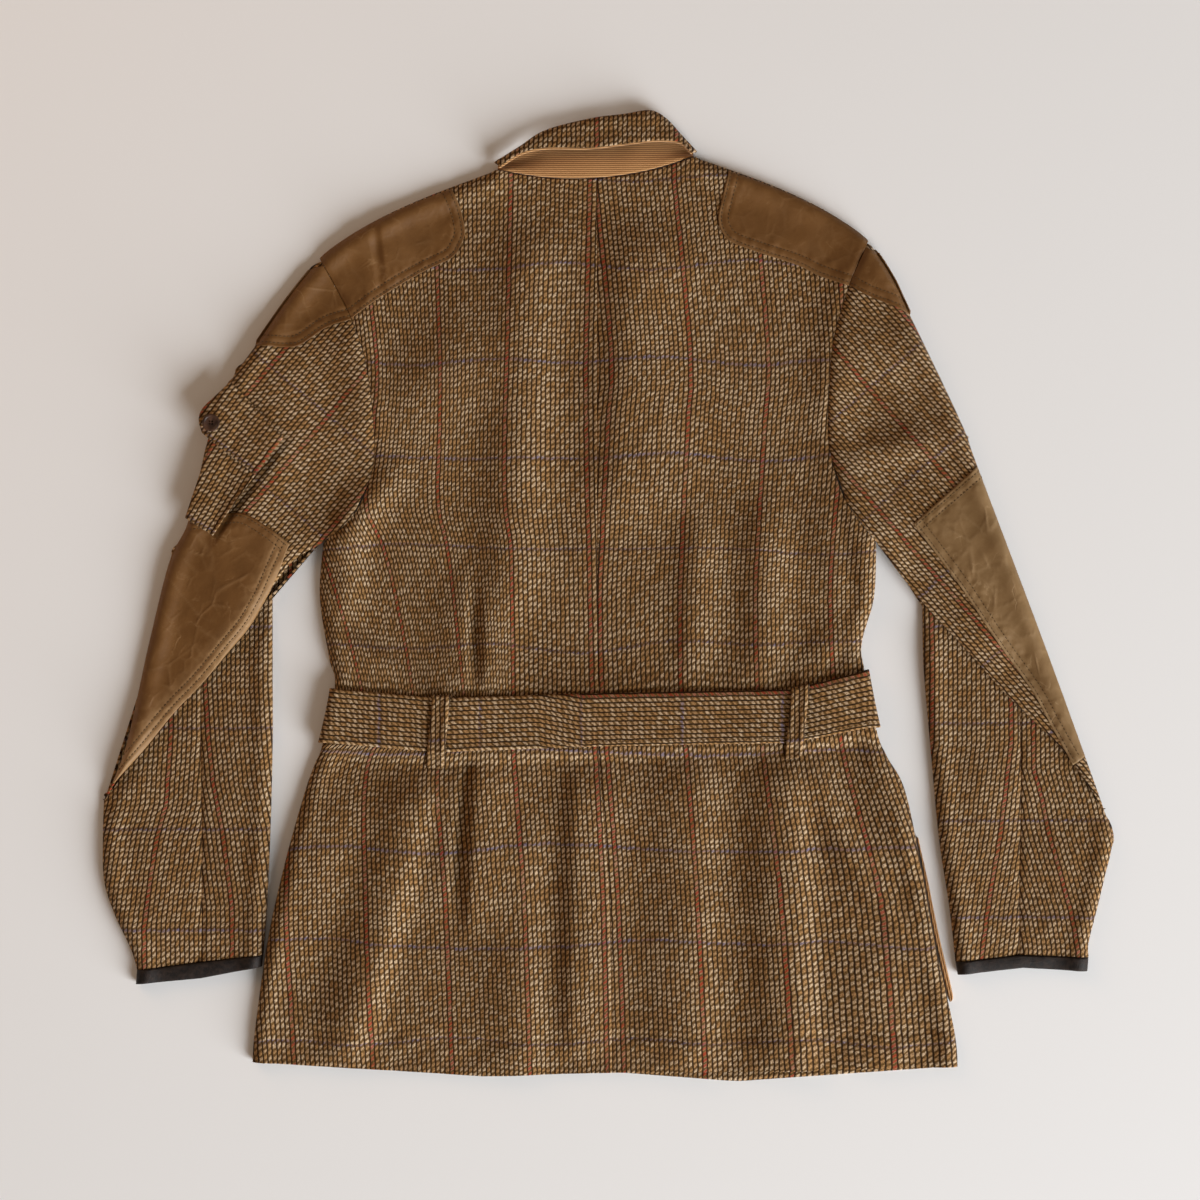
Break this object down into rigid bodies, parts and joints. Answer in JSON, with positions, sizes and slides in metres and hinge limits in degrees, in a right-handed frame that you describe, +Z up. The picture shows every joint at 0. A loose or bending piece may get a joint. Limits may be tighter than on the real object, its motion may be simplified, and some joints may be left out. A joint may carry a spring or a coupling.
{
  "type": "belted sport jacket",
  "caption": "Belted tweed sport jacket lying face down and flat, with waxed-cotton shoulder and elbow patches, a sleeve pocket, bound cuffs and a corduroy-lined collar.",
  "frame": {"origin": "under the middle of the jacket's box, on the surface it lies on", "axes": "+X to the right as seen from above, +Y towards the collar, +Z up from the surface"},
  "size_m": [0.856, 0.824, 0.0214],
  "materials": {
    "tweed": "coarse brown checked tweed",
    "waxed_cotton": "waxed, mottled sheen with pale creases",
    "needlecord": "fine tan corduroy",
    "leather": "dark satin binding",
    "horn": "dark brown horn"
  },
  "bodies": {
    "root": {"back_left": "tweed", "back_right": "tweed", "front_left": "tweed", "front_right": "tweed", "left_top_sleeve": "tweed", "right_top_sleeve": "tweed", "left_under_sleeve": "tweed", "right_under_sleeve": "tweed", "collar_leaf": "tweed", "collar_stand": "needlecord", "left_shoulder_patch": "waxed_cotton", "right_shoulder_patch": "waxed_cotton", "left_sleeve_head_patch": "waxed_cotton", "right_sleeve_head_patch": "waxed_cotton", "left_elbow_patch": "waxed_cotton", "right_elbow_patch": "waxed_cotton", "sleeve_pocket": "tweed", "sleeve_pocket_flap": "tweed", "sleeve_pocket_button": "horn", "left_cuff_binding": "leather", "right_cuff_binding": "leather", "belt": "tweed", "left_belt_loop": "tweed", "right_belt_loop": "tweed", "right_pocket_gusset": "needlecord"}
  },
  "joints": []
}
